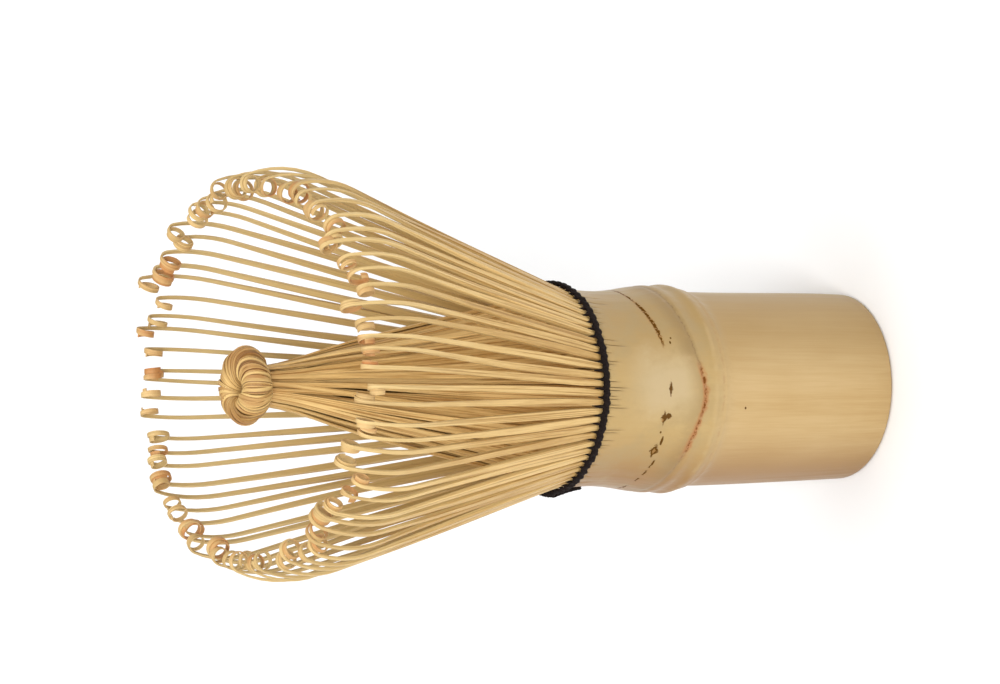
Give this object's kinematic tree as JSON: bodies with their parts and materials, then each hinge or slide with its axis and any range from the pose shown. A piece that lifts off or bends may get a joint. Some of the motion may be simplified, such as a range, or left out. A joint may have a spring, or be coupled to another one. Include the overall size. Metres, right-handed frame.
{
  "type": "bamboo tea whisk",
  "caption": "Bamboo tea whisk: a hollow culm handle split into a flared bell of curled outer tines and an inner cone of tines twisted into a knot, spread by a dark thread.",
  "frame": {"origin": "centre of the foot of the handle, on the surface that the whisk stands on", "axes": "+Z along the handle's axis, from the foot up to the tines; the thread's tied end is on the -X side"},
  "size_m": [0.0562, 0.0562, 0.0999],
  "materials": {
    "handle_bamboo": "smooth natural culm skin, satin",
    "outer_tine_bamboo": "shaved bamboo, fine lengthwise fibres, matt",
    "inner_tine_bamboo": "shaved bamboo, matt",
    "knot_bamboo": "twisted bamboo strands, darker from steaming",
    "thread": "twisted cotton thread, nearly black"
  },
  "bodies": {
    "handle": {"handle": "handle_bamboo", "binding_thread": "thread", "thread_tail": "thread"},
    "core": {"inner_splint_01": "inner_tine_bamboo", "inner_splint_02": "inner_tine_bamboo", "inner_splint_03": "inner_tine_bamboo", "inner_splint_04": "inner_tine_bamboo", "inner_splint_05": "inner_tine_bamboo", "inner_splint_06": "inner_tine_bamboo", "inner_splint_07": "inner_tine_bamboo", "inner_splint_08": "inner_tine_bamboo", "inner_splint_09": "inner_tine_bamboo", "inner_splint_10": "inner_tine_bamboo", "inner_splint_11": "inner_tine_bamboo", "inner_splint_12": "inner_tine_bamboo", "inner_splint_13": "inner_tine_bamboo", "inner_splint_14": "inner_tine_bamboo", "inner_splint_15": "inner_tine_bamboo", "inner_splint_16": "inner_tine_bamboo", "inner_splint_17": "inner_tine_bamboo", "inner_splint_18": "inner_tine_bamboo", "centre_knot": "knot_bamboo"},
    "fork_01": {"outer_fork_01": "outer_tine_bamboo"},
    "fork_02": {"outer_fork_02": "outer_tine_bamboo"},
    "fork_03": {"outer_fork_03": "outer_tine_bamboo"},
    "fork_04": {"outer_fork_04": "outer_tine_bamboo"},
    "fork_05": {"outer_fork_05": "outer_tine_bamboo"},
    "fork_06": {"outer_fork_06": "outer_tine_bamboo"},
    "fork_07": {"outer_fork_07": "outer_tine_bamboo"},
    "fork_08": {"outer_fork_08": "outer_tine_bamboo"},
    "fork_09": {"outer_fork_09": "outer_tine_bamboo"},
    "fork_10": {"outer_fork_10": "outer_tine_bamboo"},
    "fork_11": {"outer_fork_11": "outer_tine_bamboo"},
    "fork_12": {"outer_fork_12": "outer_tine_bamboo"},
    "fork_13": {"outer_fork_13": "outer_tine_bamboo"},
    "fork_14": {"outer_fork_14": "outer_tine_bamboo"},
    "fork_15": {"outer_fork_15": "outer_tine_bamboo"},
    "fork_16": {"outer_fork_16": "outer_tine_bamboo"},
    "fork_17": {"outer_fork_17": "outer_tine_bamboo"},
    "fork_18": {"outer_fork_18": "outer_tine_bamboo"},
    "fork_19": {"outer_fork_19": "outer_tine_bamboo"},
    "fork_20": {"outer_fork_20": "outer_tine_bamboo"},
    "fork_21": {"outer_fork_21": "outer_tine_bamboo"},
    "fork_22": {"outer_fork_22": "outer_tine_bamboo"},
    "fork_23": {"outer_fork_23": "outer_tine_bamboo"},
    "fork_24": {"outer_fork_24": "outer_tine_bamboo"},
    "fork_25": {"outer_fork_25": "outer_tine_bamboo"},
    "fork_26": {"outer_fork_26": "outer_tine_bamboo"},
    "fork_27": {"outer_fork_27": "outer_tine_bamboo"},
    "fork_28": {"outer_fork_28": "outer_tine_bamboo"},
    "fork_29": {"outer_fork_29": "outer_tine_bamboo"},
    "fork_30": {"outer_fork_30": "outer_tine_bamboo"},
    "fork_31": {"outer_fork_31": "outer_tine_bamboo"},
    "fork_32": {"outer_fork_32": "outer_tine_bamboo"},
    "fork_33": {"outer_fork_33": "outer_tine_bamboo"},
    "fork_34": {"outer_fork_34": "outer_tine_bamboo"},
    "fork_35": {"outer_fork_35": "outer_tine_bamboo"},
    "fork_36": {"outer_fork_36": "outer_tine_bamboo"}
  },
  "joints": [
    {"name": "core_sway", "type": "hinge", "parent": "handle", "child": "core", "pos_m": [0, 0, 0.0491], "axis": [0, 1, 0], "range_deg": [-3, 3], "stiffness_Nm_per_rad": 0.05},
    {"name": "fork_01_flex", "type": "hinge", "parent": "handle", "child": "fork_01", "pos_m": [0.01365, 0.00119, 0.0491], "axis": [-0.0872, 0.9962, 0], "range_deg": [-5, 7], "stiffness_Nm_per_rad": 0.003},
    {"name": "fork_02_flex", "type": "hinge", "parent": "handle", "child": "fork_02", "pos_m": [0.01323, 0.00355, 0.0491], "axis": [-0.2588, 0.9659, 0], "range_deg": [-5, 7], "stiffness_Nm_per_rad": 0.003},
    {"name": "fork_03_flex", "type": "hinge", "parent": "handle", "child": "fork_03", "pos_m": [0.01242, 0.00579, 0.0491], "axis": [-0.4226, 0.9063, 0], "range_deg": [-5, 7], "stiffness_Nm_per_rad": 0.003},
    {"name": "fork_04_flex", "type": "hinge", "parent": "handle", "child": "fork_04", "pos_m": [0.01122, 0.00786, 0.0491], "axis": [-0.5736, 0.8192, 0], "range_deg": [-5, 7], "stiffness_Nm_per_rad": 0.003},
    {"name": "fork_05_flex", "type": "hinge", "parent": "handle", "child": "fork_05", "pos_m": [0.00969, 0.00969, 0.0491], "axis": [-0.7071, 0.7071, 0], "range_deg": [-5, 7], "stiffness_Nm_per_rad": 0.003},
    {"name": "fork_06_flex", "type": "hinge", "parent": "handle", "child": "fork_06", "pos_m": [0.00786, 0.01122, 0.0491], "axis": [-0.8192, 0.5736, 0], "range_deg": [-5, 7], "stiffness_Nm_per_rad": 0.003},
    {"name": "fork_07_flex", "type": "hinge", "parent": "handle", "child": "fork_07", "pos_m": [0.00579, 0.01242, 0.0491], "axis": [-0.9063, 0.4226, 0], "range_deg": [-5, 7], "stiffness_Nm_per_rad": 0.003},
    {"name": "fork_08_flex", "type": "hinge", "parent": "handle", "child": "fork_08", "pos_m": [0.00355, 0.01323, 0.0491], "axis": [-0.9659, 0.2588, 0], "range_deg": [-5, 7], "stiffness_Nm_per_rad": 0.003},
    {"name": "fork_09_flex", "type": "hinge", "parent": "handle", "child": "fork_09", "pos_m": [0.00119, 0.01365, 0.0491], "axis": [-0.9962, 0.0872, 0], "range_deg": [-5, 7], "stiffness_Nm_per_rad": 0.003},
    {"name": "fork_10_flex", "type": "hinge", "parent": "handle", "child": "fork_10", "pos_m": [-0.00119, 0.01365, 0.0491], "axis": [-0.9962, -0.0872, 0], "range_deg": [-5, 7], "stiffness_Nm_per_rad": 0.003},
    {"name": "fork_11_flex", "type": "hinge", "parent": "handle", "child": "fork_11", "pos_m": [-0.00355, 0.01323, 0.0491], "axis": [-0.9659, -0.2588, 0], "range_deg": [-5, 7], "stiffness_Nm_per_rad": 0.003},
    {"name": "fork_12_flex", "type": "hinge", "parent": "handle", "child": "fork_12", "pos_m": [-0.00579, 0.01242, 0.0491], "axis": [-0.9063, -0.4226, 0], "range_deg": [-5, 7], "stiffness_Nm_per_rad": 0.003},
    {"name": "fork_13_flex", "type": "hinge", "parent": "handle", "child": "fork_13", "pos_m": [-0.00786, 0.01122, 0.0491], "axis": [-0.8192, -0.5736, 0], "range_deg": [-5, 7], "stiffness_Nm_per_rad": 0.003},
    {"name": "fork_14_flex", "type": "hinge", "parent": "handle", "child": "fork_14", "pos_m": [-0.00969, 0.00969, 0.0491], "axis": [-0.7071, -0.7071, 0], "range_deg": [-5, 7], "stiffness_Nm_per_rad": 0.003},
    {"name": "fork_15_flex", "type": "hinge", "parent": "handle", "child": "fork_15", "pos_m": [-0.01122, 0.00786, 0.0491], "axis": [-0.5736, -0.8192, 0], "range_deg": [-5, 7], "stiffness_Nm_per_rad": 0.003},
    {"name": "fork_16_flex", "type": "hinge", "parent": "handle", "child": "fork_16", "pos_m": [-0.01242, 0.00579, 0.0491], "axis": [-0.4226, -0.9063, 0], "range_deg": [-5, 7], "stiffness_Nm_per_rad": 0.003},
    {"name": "fork_17_flex", "type": "hinge", "parent": "handle", "child": "fork_17", "pos_m": [-0.01323, 0.00355, 0.0491], "axis": [-0.2588, -0.9659, 0], "range_deg": [-5, 7], "stiffness_Nm_per_rad": 0.003},
    {"name": "fork_18_flex", "type": "hinge", "parent": "handle", "child": "fork_18", "pos_m": [-0.01365, 0.00119, 0.0491], "axis": [-0.0872, -0.9962, 0], "range_deg": [-5, 7], "stiffness_Nm_per_rad": 0.003},
    {"name": "fork_19_flex", "type": "hinge", "parent": "handle", "child": "fork_19", "pos_m": [-0.01365, -0.00119, 0.0491], "axis": [0.0872, -0.9962, 0], "range_deg": [-5, 7], "stiffness_Nm_per_rad": 0.003},
    {"name": "fork_20_flex", "type": "hinge", "parent": "handle", "child": "fork_20", "pos_m": [-0.01323, -0.00355, 0.0491], "axis": [0.2588, -0.9659, 0], "range_deg": [-5, 7], "stiffness_Nm_per_rad": 0.003},
    {"name": "fork_21_flex", "type": "hinge", "parent": "handle", "child": "fork_21", "pos_m": [-0.01242, -0.00579, 0.0491], "axis": [0.4226, -0.9063, 0], "range_deg": [-5, 7], "stiffness_Nm_per_rad": 0.003},
    {"name": "fork_22_flex", "type": "hinge", "parent": "handle", "child": "fork_22", "pos_m": [-0.01122, -0.00786, 0.0491], "axis": [0.5736, -0.8192, 0], "range_deg": [-5, 7], "stiffness_Nm_per_rad": 0.003},
    {"name": "fork_23_flex", "type": "hinge", "parent": "handle", "child": "fork_23", "pos_m": [-0.00969, -0.00969, 0.0491], "axis": [0.7071, -0.7071, 0], "range_deg": [-5, 7], "stiffness_Nm_per_rad": 0.003},
    {"name": "fork_24_flex", "type": "hinge", "parent": "handle", "child": "fork_24", "pos_m": [-0.00786, -0.01122, 0.0491], "axis": [0.8192, -0.5736, 0], "range_deg": [-5, 7], "stiffness_Nm_per_rad": 0.003},
    {"name": "fork_25_flex", "type": "hinge", "parent": "handle", "child": "fork_25", "pos_m": [-0.00579, -0.01242, 0.0491], "axis": [0.9063, -0.4226, 0], "range_deg": [-5, 7], "stiffness_Nm_per_rad": 0.003},
    {"name": "fork_26_flex", "type": "hinge", "parent": "handle", "child": "fork_26", "pos_m": [-0.00355, -0.01323, 0.0491], "axis": [0.9659, -0.2588, 0], "range_deg": [-5, 7], "stiffness_Nm_per_rad": 0.003},
    {"name": "fork_27_flex", "type": "hinge", "parent": "handle", "child": "fork_27", "pos_m": [-0.00119, -0.01365, 0.0491], "axis": [0.9962, -0.0872, 0], "range_deg": [-5, 7], "stiffness_Nm_per_rad": 0.003},
    {"name": "fork_28_flex", "type": "hinge", "parent": "handle", "child": "fork_28", "pos_m": [0.00119, -0.01365, 0.0491], "axis": [0.9962, 0.0872, 0], "range_deg": [-5, 7], "stiffness_Nm_per_rad": 0.003},
    {"name": "fork_29_flex", "type": "hinge", "parent": "handle", "child": "fork_29", "pos_m": [0.00355, -0.01323, 0.0491], "axis": [0.9659, 0.2588, 0], "range_deg": [-5, 7], "stiffness_Nm_per_rad": 0.003},
    {"name": "fork_30_flex", "type": "hinge", "parent": "handle", "child": "fork_30", "pos_m": [0.00579, -0.01242, 0.0491], "axis": [0.9063, 0.4226, 0], "range_deg": [-5, 7], "stiffness_Nm_per_rad": 0.003},
    {"name": "fork_31_flex", "type": "hinge", "parent": "handle", "child": "fork_31", "pos_m": [0.00786, -0.01122, 0.0491], "axis": [0.8192, 0.5736, 0], "range_deg": [-5, 7], "stiffness_Nm_per_rad": 0.003},
    {"name": "fork_32_flex", "type": "hinge", "parent": "handle", "child": "fork_32", "pos_m": [0.00969, -0.00969, 0.0491], "axis": [0.7071, 0.7071, 0], "range_deg": [-5, 7], "stiffness_Nm_per_rad": 0.003},
    {"name": "fork_33_flex", "type": "hinge", "parent": "handle", "child": "fork_33", "pos_m": [0.01122, -0.00786, 0.0491], "axis": [0.5736, 0.8192, 0], "range_deg": [-5, 7], "stiffness_Nm_per_rad": 0.003},
    {"name": "fork_34_flex", "type": "hinge", "parent": "handle", "child": "fork_34", "pos_m": [0.01242, -0.00579, 0.0491], "axis": [0.4226, 0.9063, 0], "range_deg": [-5, 7], "stiffness_Nm_per_rad": 0.003},
    {"name": "fork_35_flex", "type": "hinge", "parent": "handle", "child": "fork_35", "pos_m": [0.01323, -0.00355, 0.0491], "axis": [0.2588, 0.9659, 0], "range_deg": [-5, 7], "stiffness_Nm_per_rad": 0.003},
    {"name": "fork_36_flex", "type": "hinge", "parent": "handle", "child": "fork_36", "pos_m": [0.01365, -0.00119, 0.0491], "axis": [0.0872, 0.9962, 0], "range_deg": [-5, 7], "stiffness_Nm_per_rad": 0.003}
  ]
}
